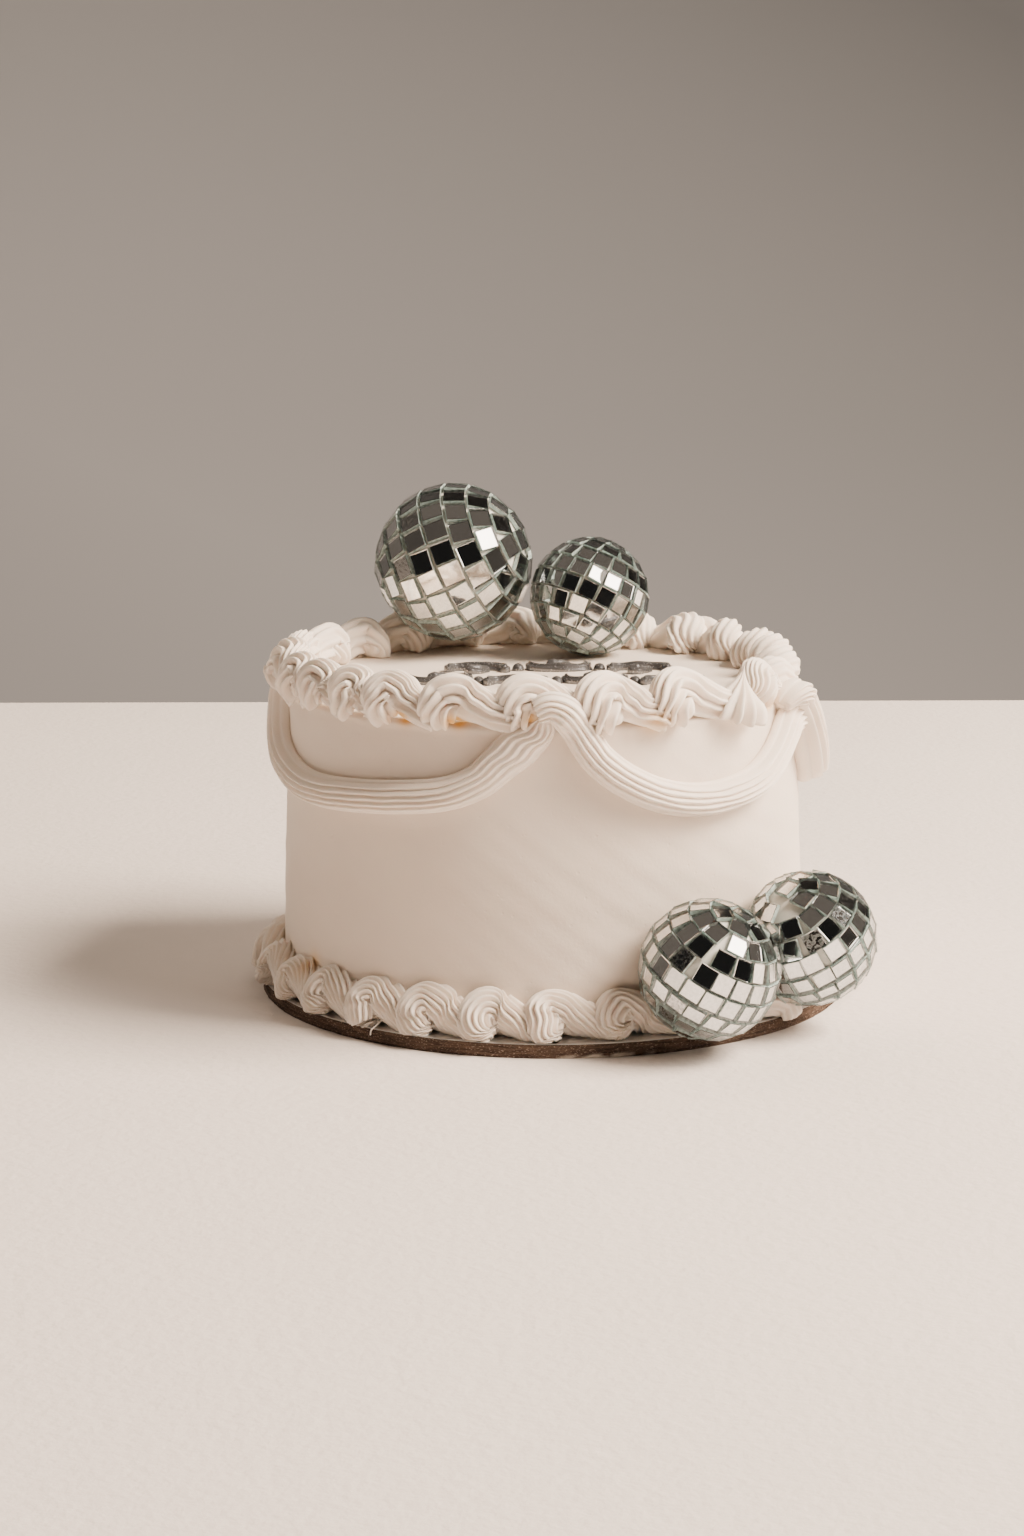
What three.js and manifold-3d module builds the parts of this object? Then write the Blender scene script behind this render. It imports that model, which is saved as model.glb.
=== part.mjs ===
// A round iced cake on a thin board, with piped borders round its top and foot, draped swags
// round its side, a silver piped flourish on top and four mirror balls.
// Millimetres, +Z up. The origin is on the cake's axis, on the board's underside. Azimuths are
// in degrees, counted from the front (-Y) towards the right (+X).
import * as THREE from 'three';
import { mergeVertices } from 'three/addons/utils/BufferGeometryUtils.js';
import Module from 'manifold-3d';

const wasm = await Module();
wasm.setup();

// Driving dimensions
const gap = 0.3; // left between neighbouring pieces
const degree = Math.PI / 180;
const board = { radius: 89, thickness: 4.2, shift: 3.1, edge: 0.4, sides: 48 };
const cake = {
  foot: 79.6, rim: 76, bulge: 0.35, height: 88, sides: 52, courses: 3, rimHeight: 2.2, rimInset: 1.5,
};
const footLevel = board.thickness;
const topLevel = board.thickness + cake.height;

// Piped borders: one rope round the cake, laid in shells that start with a thick head and end
// in a thin tail under the next head. A section is a star that rests on the cake: spread is
// where it starts and ends round its middle. Stations say, for a share of each shell, the
// girth, the shift outward, the shift upward and the turn of the ridges.
const topBorder = {
  middle: [73.7, 97], girth: 6.9, ridges: 5, spread: [-78, 228], slant: 5.5, pitch: 21.5, seed: 5,
  stations: [[0, 0.6, 1.6, -2.2, 8], [0.1, 0.94, 3, -2, 14], [0.4, 1.02, 0, 0.4, 0], [0.72, 0.84, -0.3, -0.5, -10]],
};
const footBorder = {
  middle: [82.6, 12], girth: 7, ridges: 4, spread: [-84, 152], slant: 4, pitch: 18.3, seed: 23,
  stations: [[0, 0.64, 1, -2.8, 8], [0.14, 0.96, 1.3, -1.2, 12], [0.55, 1, 0, 0, -6]],
};
const groove = 0.16; // depth of a groove between ridges, as a share of the girth
const frontShells = [-71, -59, -46, -36, -22, -5.5, 11.5, 26.4, 42];
const backShells = { from: 60, to: 277, count: 16 };
const footShells = { first: 2, count: 28, seed: 11 };
const shellSize = { shortest: 0.8, longest: 1.02, swing: 0.05 }; // a shorter shell is slimmer too
const turnSwing = 1.1; // degrees
const borderOverhang = 6.6; // height of the side that the top border may hang down over

// A peak that the nozzle pulled up, and a lump that a ball pressed out of the foot border
const peak = {
  azimuth: 48.6, lean: 1.4, distance: 77, foot: 92.5, tip: 105.4, girth: 5.6, tipGirth: 0.25, taper: 1.25,
  steps: 4, sides: 10,
};
const lump = { azimuth: 44.5, distance: 86.6, level: 7, halfHeight: 4.6, reach: 5.4, round: 8, rows: 6 };

// Swags: azimuths of the two ends and of the lowest point, drop below the ends, and how
// sharply each side leaves its end.
const swagShape = {
  width: 10.9, proud: 6.6, ridges: 5, steps: 11, clear: 0.35, end: 2.4, crowding: 0.55,
  headLength: 5, head: 0.7, flareLength: 20, flare: 1.2, tipLength: 8, tip: 0.35,
};
const swags = [
  { from: -88.5, to: 0.6, lowest: -66, drop: 27.4, leftSlope: 0.62, rightSlope: 0.47 },
  { from: 0.4, to: 72.6, lowest: 35.4, drop: 24.4, leftSlope: 0.78, rightSlope: 1.05 },
  { from: 72.4, to: 138.6, lowest: 104, drop: 24, leftSlope: 0.66, rightSlope: 0.9 },
  { from: 138.4, to: 205.6, lowest: 170, drop: 25, leftSlope: 0.74, rightSlope: 0.8 },
  { from: 205.4, to: 271.2, lowest: 240, drop: 24.6, leftSlope: 0.7, rightSlope: 0.72 },
];

// Mirror balls: radius to the middle of a tile, tile width, distance from tile to tile,
// centre, and the direction of the pole that the rows of tiles go round.
const balls = {
  mirror_ball_top_large: {
    radius: 23.9, tile: 6.4, pitch: 7.05, centre: [-28.1, 55.8, 121.2], pole: [0.88, -0.11, 0.45], seed: 40,
  },
  mirror_ball_top_small: {
    radius: 17.9, tile: 5.1, pitch: 5.65, centre: [14.9, 50.3, 110.8], pole: [0.45, 0.41, 0.78], seed: 41,
  },
  mirror_ball_foot_left: {
    radius: 19.15, tile: 5.5, pitch: 6, centre: [46.5, -83.9, 24.4], pole: [0.18, -0.13, 0.97], seed: 42,
  },
  mirror_ball_foot_right: {
    radius: 18.65, tile: 5.4, pitch: 6, centre: [76.3, -59.3, 27.2], pole: [-0.45, -0.6, 0.67], seed: 43,
  },
};
const tileTilt = 2.2; // degrees that a tile may lean out of the ball's round
const tileFill = 0.95; // most of its row's round that a row of tiles takes
const ballRoom = { grow: 1.1, round: 20, rows: 14 }; // cut round a ball, beyond its tiles' middles

// Silver flourish on the top: scrolls, leaves and beads in two rows
const stroke = { halfWidth: 2, height: 2.8, thinHeight: 0.35, shoulder: 0.75 };
const scrollShape = { length: 24, steps: 7, curl: 2.5, waist: 0.75 };
const leafShape = {
  length: 9, steps: 4, offset: 4.6, heading: 0.3, bend: 0.5, tip: 0.3, belly: 0.85, lean: 0.55, fullness: 0.8,
};
const bead = { radius: 1.9, height: 2.2, crown: [0.8, 0.7], sides: 8 };
const flourishRows = [
  { y: -3, scrolls: 4, x: -31, step: 23.5, flip: 1 },
  { y: 21, scrolls: 3, x: -20, step: 25, flip: -1 },
];

// Small random differences, the same at each run
function seededRandom(seed) {
  const factor = 16807;
  const modulus = 2147483647;
  let state = seed;
  return () => {
    state = (state * factor) % modulus;
    return state / modulus;
  };
}

function swing(random, amount) {
  return (random() * 2 - 1) * amount;
}

function around(azimuth, distance, z) {
  const angle = azimuth * degree;
  return new THREE.Vector3(distance * Math.sin(angle), -distance * Math.cos(angle), z);
}

// Closed shapes
function closedShape(corners, faces) {
  const geometry = new THREE.BufferGeometry();
  geometry.setAttribute('position', new THREE.Float32BufferAttribute(corners.flatMap((p) => p.toArray()), 3));
  let volume = 0;
  faces.forEach(([a, b, c]) => {
    volume += corners[a].dot(new THREE.Vector3().crossVectors(corners[b], corners[c]));
  });
  const outward = volume > 0 ? faces : faces.map(([a, b, c]) => [a, c, b]);
  geometry.setIndex(outward.flat());
  return geometry;
}

// Skins a row of outlines that have the same number of corners, and closes both ends.
function loft(outlines) {
  const count = outlines[0].length;
  const corners = outlines.flat();
  const faces = [];
  for (let row = 0; row < outlines.length - 1; row += 1) {
    for (let i = 0; i < count; i += 1) {
      const a = row * count + i;
      const b = row * count + ((i + 1) % count);
      faces.push([a, b, b + count], [a, b + count, a + count]);
    }
  }
  [[0, 1], [(outlines.length - 1) * count, -1]].forEach(([start, side]) => {
    const middle = new THREE.Vector3();
    for (let i = 0; i < count; i += 1) {
      middle.addScaledVector(corners[start + i], 1 / count);
    }
    corners.push(middle);
    for (let i = 0; i < count; i += 1) {
      const pair = [start + i, start + ((i + 1) % count)];
      faces.push([corners.length - 1, ...(side > 0 ? pair.reverse() : pair)]);
    }
  });
  return closedShape(corners, faces);
}

// Skins a row of outlines that runs round and meets its own start.
function closedRing(outlines) {
  const count = outlines[0].length;
  const corners = outlines.flat();
  const faces = [];
  outlines.forEach((outline, row) => {
    const next = ((row + 1) % outlines.length) * count;
    for (let i = 0; i < count; i += 1) {
      const a = row * count + i;
      const b = row * count + ((i + 1) % count);
      const c = next + ((i + 1) % count);
      faces.push([a, b, c], [a, c, next + i]);
    }
  });
  return closedShape(corners, faces);
}

function turned(profile, sides) {
  const points = profile.map(([radius, z]) => new THREE.Vector2(radius, z));
  const geometry = new THREE.LatheGeometry(points, sides);
  geometry.rotateX(Math.PI / 2);
  return geometry;
}

// Joining and cutting
function toSolid(geometry) {
  const plain = geometry.clone();
  plain.deleteAttribute('normal');
  plain.deleteAttribute('uv');
  const merged = mergeVertices(plain);
  const corners = merged.index.array;
  const triangles = [];
  for (let i = 0; i < corners.length; i += 3) {
    const [a, b, c] = corners.slice(i, i + 3);
    if (a !== b && b !== c && c !== a) {
      triangles.push(a, b, c);
    }
  }
  return new wasm.Manifold(new wasm.Mesh({
    numProp: 3,
    vertProperties: Float32Array.from(merged.attributes.position.array),
    triVerts: Uint32Array.from(triangles),
  }));
}

function toGeometry(solid) {
  const mesh = solid.getMesh();
  const geometry = new THREE.BufferGeometry();
  geometry.setAttribute('position', new THREE.BufferAttribute(mesh.vertProperties, 3));
  geometry.setIndex(new THREE.BufferAttribute(mesh.triVerts, 1));
  return geometry;
}

function cutBy(solid, cutters) {
  return cutters.reduce((whole, cutter) => whole.subtract(cutter), solid);
}

// Board and cake
function boardShape(grow) {
  const radius = board.radius + grow;
  const high = board.thickness + grow;
  const geometry = turned([
    [0, 0], [radius, 0], [radius, high - board.edge], [radius - board.edge, high], [0, high],
  ], board.sides);
  geometry.translate(board.shift, 0, 0);
  return geometry;
}

function wallRadius(z) {
  const rise = Math.min(Math.max((z - footLevel) / cake.height, 0), 1);
  return cake.foot + (cake.rim - cake.foot) * rise + cake.bulge * Math.sin(Math.PI * rise);
}

const rimCorner = [wallRadius(topLevel - borderOverhang) + gap, topLevel + gap];

function cakeShape() {
  const rimStart = topLevel - cake.rimHeight;
  const profile = [[0, footLevel]];
  for (let i = 0; i <= cake.courses; i += 1) {
    const z = footLevel + ((rimStart - footLevel) * i) / cake.courses;
    profile.push([wallRadius(z), z]);
  }
  [Math.PI / 4, Math.PI / 2].forEach((angle) => {
    const inset = cake.rimInset * (1 - Math.cos(angle));
    profile.push([wallRadius(rimStart) - inset, rimStart + cake.rimHeight * Math.sin(angle)]);
  });
  profile.push([0, topLevel]);
  return turned(profile, cake.sides);
}

// Piped borders: a foothold keeps a corner of the rope off the cake and the board.
function topFoothold(distance, z, isFoot) {
  if (isFoot || distance > rimCorner[0]) {
    return [Math.max(distance, rimCorner[0]), z];
  }
  return [distance, Math.max(z, rimCorner[1])];
}

function footFoothold(distance, z) {
  return [Math.max(distance, wallRadius(z) + gap), Math.max(z, footLevel + gap)];
}

function borderSection(border, station, azimuth, size, foothold, corner) {
  const [, girthShare, outward, upward, turn] = station;
  const points = border.ridges * 2;
  const section = [];
  for (let i = 0; i <= points; i += 1) {
    const part = i / points;
    const inside = i > 0 && i < points;
    const angle = border.spread[0] + (border.spread[1] - border.spread[0]) * part + (inside ? turn : 0);
    const reach = border.girth * girthShare * size * (i % 2 === 1 ? 1 : 1 - groove);
    const [distance, z] = foothold(
      border.middle[0] + outward + reach * Math.cos(angle * degree),
      border.middle[1] + upward + reach * Math.sin(angle * degree),
      i === 0,
    );
    const slant = (border.slant * (part - 0.5)) / (border.middle[0] * degree);
    section.push(around(azimuth + slant, distance, z));
  }
  section.push(around(azimuth, ...corner));
  return section;
}

function borderRope(border, azimuths, foothold, corner) {
  const random = seededRandom(border.seed);
  const { shortest, longest } = shellSize;
  const sections = [];
  azimuths.forEach((azimuth, i) => {
    const step = (azimuths[(i + 1) % azimuths.length] - azimuth + 360) % 360;
    const fullness = (step * degree * border.middle[0]) / border.pitch;
    const slimness = Math.min(shortest + (1 - shortest) * fullness, longest);
    const size = slimness * (1 + swing(random, shellSize.swing));
    border.stations.forEach((station) => {
      sections.push(borderSection(border, station, azimuth + step * station[0], size, foothold, corner));
    });
  });
  return toSolid(closedRing(sections));
}

function topShellAzimuths() {
  const azimuths = [...frontShells];
  for (let i = 0; i < backShells.count; i += 1) {
    azimuths.push(backShells.from + ((backShells.to - backShells.from) * i) / (backShells.count - 1));
  }
  return azimuths;
}

function footShellAzimuths() {
  const random = seededRandom(footShells.seed);
  const azimuths = [];
  for (let i = 0; i < footShells.count; i += 1) {
    azimuths.push(footShells.first + (360 * i) / footShells.count + swing(random, turnSwing));
  }
  return azimuths;
}

function pulledPeak() {
  const rings = [];
  for (let i = 0; i <= peak.steps; i += 1) {
    const s = i / peak.steps;
    const girth = peak.girth * (1 - s) ** peak.taper + peak.tipGirth;
    const z = peak.foot + (peak.tip - peak.foot) * s;
    const centre = around(peak.azimuth + peak.lean * s, peak.distance, z);
    const ring = [];
    for (let k = 0; k < peak.sides; k += 1) {
      const angle = (2 * Math.PI * k) / peak.sides;
      const reach = girth * (k % 2 === 1 ? 1 : 1 - groove);
      ring.push(centre.clone().add(new THREE.Vector3(reach * Math.cos(angle), reach * Math.sin(angle), 0)));
    }
    rings.push(ring);
  }
  return toSolid(loft(rings));
}

function pressedLump() {
  const shape = new THREE.SphereGeometry(lump.reach, lump.round, lump.rows);
  shape.scale(1, 1, lump.halfHeight / lump.reach);
  shape.rotateZ(lump.azimuth * degree);
  shape.translate(...around(lump.azimuth, lump.distance, lump.level).toArray());
  return toSolid(shape);
}

// Swags
function swagHeight(swag, azimuth) {
  const left = (azimuth - swag.from) / (swag.lowest - swag.from);
  const right = (swag.to - azimuth) / (swag.to - swag.lowest);
  const onLeft = azimuth < swag.lowest;
  const part = Math.min(Math.max(onLeft ? left : right, 0), 1);
  const slope = onLeft ? swag.leftSlope : swag.rightSlope;
  return topLevel + swagShape.end - swag.drop * (1 - (1 - part) ** 2) ** slope;
}

function swagAngle(swag, azimuth) {
  const reach = 0.4; // degrees to each side
  const run = wallRadius(swagHeight(swag, azimuth)) * degree * 2 * reach;
  const rise = swagHeight(swag, azimuth + reach) - swagHeight(swag, azimuth - reach);
  return Math.atan2(rise, run);
}

function swagOutline(grow) {
  const outline = [];
  const points = swagShape.ridges * 2;
  for (let i = 0; i <= points; i += 1) {
    const angle = (i / points - 0.5) * Math.PI;
    const reach = i % 2 === 1 ? 1 : 1 - groove;
    const across = (swagShape.width / 2) * reach * Math.sin(angle);
    const proud = swagShape.proud * reach * Math.cos(angle);
    outline.push([across + grow * Math.sin(angle), proud + (i === 0 || i === points ? -grow : grow)]);
  }
  outline.push([0, -grow]);
  return outline;
}

// The rope starts round, widens before its end and then runs to a point.
function swagSize(swag, azimuth) {
  const head = Math.min((azimuth - swag.from) / swagShape.headLength, 1);
  const left = Math.max(swag.to - azimuth, 0);
  const flare = 1 + (swagShape.flare - 1) * Math.max(1 - left / swagShape.flareLength, 0);
  const tip = Math.min(left / swagShape.tipLength, 1);
  const end = swagShape.tip + (1 - swagShape.tip) * Math.sqrt(tip);
  const start = swagShape.head + (1 - swagShape.head) * Math.sqrt(Math.max(head, 0));
  return start * flare * end;
}

function lengthen(end, before, amount) {
  end.forEach((corner, i) => {
    corner.add(corner.clone().sub(before[i]).setLength(amount));
  });
}

function swagShell(swag, grow) {
  const outline = swagOutline(grow);
  const rings = [];
  for (let i = 0; i <= swagShape.steps; i += 1) {
    const t = i / swagShape.steps;
    const eased = 0.5 - 0.5 * Math.cos(Math.PI * t);
    const part = t + (eased - t) * swagShape.crowding;
    const azimuth = swag.from + (swag.to - swag.from) * part;
    const z = swagHeight(swag, azimuth);
    const angle = swagAngle(swag, azimuth);
    const size = swagSize(swag, azimuth);
    rings.push(outline.map(([across, proud]) => {
      const shift = across * size;
      const height = z + shift * Math.cos(angle);
      const turn = (-shift * Math.sin(angle)) / (wallRadius(height) * degree);
      return around(azimuth + turn, wallRadius(height) + swagShape.clear + proud * size, height);
    }));
  }
  lengthen(rings[0], rings[1], grow);
  lengthen(rings[swagShape.steps], rings[swagShape.steps - 1], grow);
  return toSolid(loft(rings));
}

// Mirror balls
function tileRows(ball) {
  const rowCount = Math.round((Math.PI * ball.radius) / ball.pitch);
  const rows = [];
  for (let k = 1; k < rowCount; k += 1) {
    const polar = (Math.PI * k) / rowCount;
    const circle = 2 * Math.PI * ball.radius * Math.sin(polar);
    rows.push({ polar, count: Math.round(circle / ball.pitch) });
  }
  return rows;
}

function tileCorners(ball, polar, turn, count, random) {
  const half = ball.tile / 2;
  const normal = new THREE.Vector3().setFromSphericalCoords(1, polar, turn);
  const down = new THREE.Vector3().setFromSphericalCoords(1, polar + Math.PI / 2, turn);
  const side = new THREE.Vector3().crossVectors(normal, down);
  const room = Math.tan(Math.PI / count) * tileFill;
  const tilt = [swing(random, tileTilt * degree), swing(random, tileTilt * degree)];
  return [[-1, -1], [-1, 1], [1, 1], [1, -1]].map(([u, v]) => {
    const distance = ball.radius * Math.sin(polar) + v * half * Math.cos(polar);
    const width = Math.min(half, distance * room);
    const lean = u * width * tilt[0] + v * half * tilt[1];
    return normal.clone().multiplyScalar(ball.radius + lean)
      .addScaledVector(side, u * width)
      .addScaledVector(down, v * half);
  });
}

// Joins two loops of corners that run round the same axis, by always taking the nearer step.
function zipper(upper, lower, turnOf) {
  const faces = [];
  let i = 0;
  let j = 0;
  const turnAt = (loop, k) => turnOf(loop[k % loop.length]) + 2 * Math.PI * Math.floor(k / loop.length);
  while (i < upper.length || j < lower.length) {
    const stepUpper = i < upper.length && (j >= lower.length || turnAt(upper, i + 1) < turnAt(lower, j + 1));
    const a = upper[i % upper.length];
    const b = lower[j % lower.length];
    if (stepUpper) {
      i += 1;
      faces.push([a, b, upper[i % upper.length]]);
    } else {
      j += 1;
      faces.push([a, b, lower[j % lower.length]]);
    }
  }
  return faces;
}

// A tile closes each pole, rows of tiles lie between, and strips of core join them all.
function mirrorBall(ball) {
  const random = seededRandom(ball.seed);
  const corners = [];
  const turns = [];
  const faces = [];
  const addCorner = (point, turn) => {
    corners.push(point);
    turns.push(turn);
    return corners.length - 1;
  };
  const capLoop = (direction) => {
    const reach = (ball.tile / 2) * Math.SQRT2;
    return [0, 1, 2, 3].map((k) => {
      const turn = (k + 0.5) * (Math.PI / 2);
      const point = new THREE.Vector3(reach * Math.sin(turn), direction * ball.radius, reach * Math.cos(turn));
      return addCorner(point, turn);
    });
  };
  const northCap = capLoop(1);
  faces.push([northCap[0], northCap[1], northCap[2]], [northCap[0], northCap[2], northCap[3]]);
  let previous = northCap;
  tileRows(ball).forEach((row) => {
    const step = (2 * Math.PI) / row.count;
    const upper = [];
    const lower = [];
    for (let k = 0; k < row.count; k += 1) {
      const turn = step * (k + 0.5);
      const tile = tileCorners(ball, row.polar, turn, row.count, random).map((point, corner) => (
        addCorner(point, turn + (corner < 2 ? -step : step) / 4)
      ));
      const [upperLeft, lowerLeft, lowerRight, upperRight] = tile;
      faces.push([upperLeft, lowerLeft, lowerRight], [upperLeft, lowerRight, upperRight]);
      upper.push(upperLeft, upperRight);
      lower.push(lowerLeft, lowerRight);
    }
    for (let k = 1; k < upper.length; k += 2) {
      const next = (k + 1) % upper.length;
      faces.push([upper[k], lower[k], lower[next]], [upper[k], lower[next], upper[next]]);
    }
    faces.push(...zipper(previous, upper, (corner) => turns[corner]));
    previous = lower;
  });
  const southCap = capLoop(-1);
  faces.push([southCap[0], southCap[2], southCap[1]], [southCap[0], southCap[3], southCap[2]]);
  faces.push(...zipper(previous, southCap, (corner) => turns[corner]));
  return closedShape(corners, faces);
}

function placedBall(ball) {
  const geometry = mirrorBall(ball);
  const pole = new THREE.Vector3(...ball.pole).normalize();
  const turn = new THREE.Quaternion().setFromUnitVectors(new THREE.Vector3(0, 1, 0), pole);
  geometry.applyQuaternion(turn);
  geometry.translate(...ball.centre);
  return geometry;
}

function ballRoomShape(ball) {
  const shape = new THREE.SphereGeometry(ball.radius + ballRoom.grow, ballRoom.round, ballRoom.rows);
  shape.translate(...ball.centre);
  return toSolid(shape);
}

// Silver flourish: a stroke runs along a bent line, with its middle at the given place.
function pipedStroke(place, heading, shape, bend, widthAt) {
  const at = new THREE.Vector2();
  const middle = new THREE.Vector2();
  const spine = [];
  for (let i = 0; i <= shape.steps; i += 1) {
    const s = i / shape.steps;
    const angle = heading + bend(s);
    spine.push({ s, angle, point: at.clone() });
    middle.addScaledVector(at, 1 / (shape.steps + 1));
    at.add(new THREE.Vector2(Math.cos(angle), Math.sin(angle)).multiplyScalar(shape.length / shape.steps));
  }
  const { shoulder, thinHeight } = stroke;
  const outline = [[-1, 0], [-shoulder, shoulder], [0, 1], [shoulder, shoulder], [1, 0]];
  return loft(spine.map(({ s, angle, point }) => {
    const share = widthAt(s);
    const half = stroke.halfWidth * share;
    const high = stroke.height * (thinHeight + (1 - thinHeight) * share);
    const side = new THREE.Vector3(-Math.sin(angle), Math.cos(angle), 0);
    const centre = new THREE.Vector3(place[0] + point.x - middle.x, place[1] + point.y - middle.y, topLevel);
    return outline.map(([u, v]) => centre.clone()
      .addScaledVector(side, u * half)
      .add(new THREE.Vector3(0, 0, v * high)));
  }));
}

function scroll(place, flip) {
  const bend = (s) => flip * scrollShape.curl * (2 * s - 1) ** 3;
  const widthAt = (s) => scrollShape.waist + (1 - scrollShape.waist) * Math.cos(2 * Math.PI * s) ** 2;
  return pipedStroke(place, 0, scrollShape, bend, widthAt);
}

function leaf(place) {
  const { tip, belly, lean, fullness } = leafShape;
  const widthAt = (s) => tip + belly * Math.sin(Math.PI * s ** lean) ** fullness;
  return pipedStroke(place, leafShape.heading, leafShape, (s) => leafShape.bend * s, widthAt);
}

function beadShape(place) {
  const [crownReach, crownHeight] = bead.crown;
  const profile = [
    [0, 0], [bead.radius, 0], [bead.radius * crownReach, bead.height * crownHeight], [0, bead.height],
  ];
  const geometry = turned(profile, bead.sides);
  geometry.translate(place[0], place[1], topLevel);
  return geometry;
}

// Materials
function finish(color, roughness, metalness) {
  return new THREE.MeshStandardMaterial({ color, roughness, metalness });
}

const icing = finish(0xf1ebe4, 0.55, 0);
const pipedIcing = finish(0xf6f1eb, 0.5, 0);
const boardStock = finish(0x4a3a30, 0.8, 0);
const mirrorTile = finish(0xc9cbc8, 0.12, 0.9);
const silverIcing = finish(0x77767a, 0.3, 0.7);

// The cake
const object = new THREE.Group();

function place(name, geometry, material) {
  const mesh = new THREE.Mesh(geometry, material.clone());
  mesh.name = name;
  object.add(mesh);
}

const ballList = Object.entries(balls);
const [roomTopLarge, , roomFootLeft, roomFootRight] = ballList.map(([, ball]) => ballRoomShape(ball));
const boardRoom = toSolid(boardShape(gap));
const swagRooms = swags.map((swag) => swagShell(swag, gap));

place('cake_board', boardShape(0), boardStock);
place('iced_cake', toGeometry(cutBy(toSolid(cakeShape()), [roomFootLeft, roomFootRight])), icing);

const topRope = borderRope(topBorder, topShellAzimuths(), topFoothold, rimCorner).add(pulledPeak());
place('top_border', toGeometry(cutBy(topRope, [...swagRooms, roomTopLarge])), pipedIcing);

const footCorner = [wallRadius(footLevel) + gap, footLevel + gap];
const footRope = borderRope(footBorder, footShellAzimuths(), footFoothold, footCorner).add(pressedLump());
place('foot_border', toGeometry(cutBy(footRope, [boardRoom, roomFootLeft, roomFootRight])), pipedIcing);

swags.forEach((swag, i) => {
  const neighbour = swagRooms[(i + 1) % swags.length];
  place(`swag_${i + 1}`, toGeometry(swagShell(swag, 0).subtract(neighbour)), pipedIcing);
});

ballList.forEach(([name, ball]) => place(name, placedBall(ball), mirrorTile));

flourishRows.forEach((row, r) => {
  for (let k = 0; k < row.scrolls; k += 1) {
    const x = row.x + row.step * k;
    const flip = row.flip * (k % 2 === 0 ? 1 : -1);
    place(`silver_scroll_${r + 1}_${k + 1}`, scroll([x, row.y], flip), silverIcing);
    place(`silver_leaf_${r + 1}_${k + 1}`, leaf([x, row.y + flip * leafShape.offset]), silverIcing);
  }
  for (let k = 1; k < row.scrolls; k += 1) {
    const x = row.x + row.step * (k - 0.5);
    place(`silver_bead_${r + 1}_${k}`, beadShape([x, row.y]), silverIcing);
  }
});

export default object;
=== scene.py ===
import math

import bpy
import numpy as np
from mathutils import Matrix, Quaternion, Vector


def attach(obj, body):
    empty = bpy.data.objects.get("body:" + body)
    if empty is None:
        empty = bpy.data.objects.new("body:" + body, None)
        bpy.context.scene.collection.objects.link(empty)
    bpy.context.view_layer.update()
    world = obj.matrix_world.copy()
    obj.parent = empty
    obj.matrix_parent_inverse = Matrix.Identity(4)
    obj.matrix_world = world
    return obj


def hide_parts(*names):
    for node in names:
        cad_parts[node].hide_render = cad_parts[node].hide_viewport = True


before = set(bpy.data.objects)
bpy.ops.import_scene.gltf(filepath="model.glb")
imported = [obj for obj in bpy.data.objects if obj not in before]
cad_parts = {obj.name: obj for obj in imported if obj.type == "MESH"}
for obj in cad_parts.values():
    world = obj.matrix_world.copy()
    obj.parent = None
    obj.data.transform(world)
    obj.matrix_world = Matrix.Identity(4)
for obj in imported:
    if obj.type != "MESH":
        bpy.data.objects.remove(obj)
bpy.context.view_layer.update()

window = {"azimuth": 56, "height": 36}   # degrees; the mirrors catch it
mm = 0.001   # sizes below are in millimetres, meshes and lights in metres
print("frame loaded,", len(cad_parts), "nodes")


# Camera and room

camera = {
    "place": (0.0, -953.8, 253.4),
    "pitch": 11.14,   # degrees below level
    "yaw": 0.56,      # turned left
    "roll": -0.24,
    "lens": 75.15,
    "sensor": 36.0,
}


def addCamera():
    data = bpy.data.cameras.new("camera")
    data.sensor_fit = "VERTICAL"
    data.sensor_height = camera["sensor"]
    data.lens = camera["lens"]
    item = bpy.data.objects.new("camera", data)
    bpy.context.scene.collection.objects.link(item)
    item.location = [v * mm for v in camera["place"]]
    yaw = Quaternion((0, 0, 1), math.radians(camera["yaw"]))
    level = Quaternion((1, 0, 0), math.radians(90 - camera["pitch"]))
    roll = Quaternion((0, 0, 1), math.radians(camera["roll"]))
    item.rotation_mode = "QUATERNION"
    item.rotation_quaternion = yaw @ level @ roll
    bpy.context.scene.camera = item


# Shapes in numpy

def randomSource(seed):
    return np.random.default_rng(seed)


def around(azimuth, distance, z):   # degrees from the front towards +X
    angle, distance, z = np.broadcast_arrays(np.radians(azimuth), distance, z)
    return np.stack([distance * np.sin(angle), -distance * np.cos(angle), z], -1)


def azimuthOf(corners):
    return np.degrees(np.arctan2(corners[:, 0], -corners[:, 1]))


def distanceOf(corners, centre=(0, 0)):   # from an upright axis
    return np.linalg.norm(corners[:, :2] - centre, axis=1)


def unit(vectors):
    return vectors / np.maximum(np.linalg.norm(vectors, axis=-1, keepdims=True), 1e-9)


def smoothStep(low, high, values):
    part = np.clip((values - low) / (high - low), 0, 1)
    return part * part * (3 - 2 * part)


def roundEnd(part, length, least=0.02):   # rises like a quarter circle, to 1 at this length
    return np.sqrt(np.clip(1 - (1 - np.clip(part / length, 0, 1)) ** 2, least, 1))


def smoothPath(points, count):   # a curve through all points
    points = np.array(points, float)
    lengthened = np.array([2 * points[0] - points[1], *points, 2 * points[-1] - points[-2]])
    place = np.linspace(0, len(points) - 1, count)
    first = np.minimum(place.astype(int), len(points) - 2)
    u = (place - first)[:, None]
    a, b, c, d = (lengthened[first + k] for k in range(4))
    square = 2 * a - 5 * b + 4 * c - d
    cube = 3 * b - a - 3 * c + d
    return 0.5 * (2 * b + (c - a) * u + square * u ** 2 + cube * u ** 3)


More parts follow.
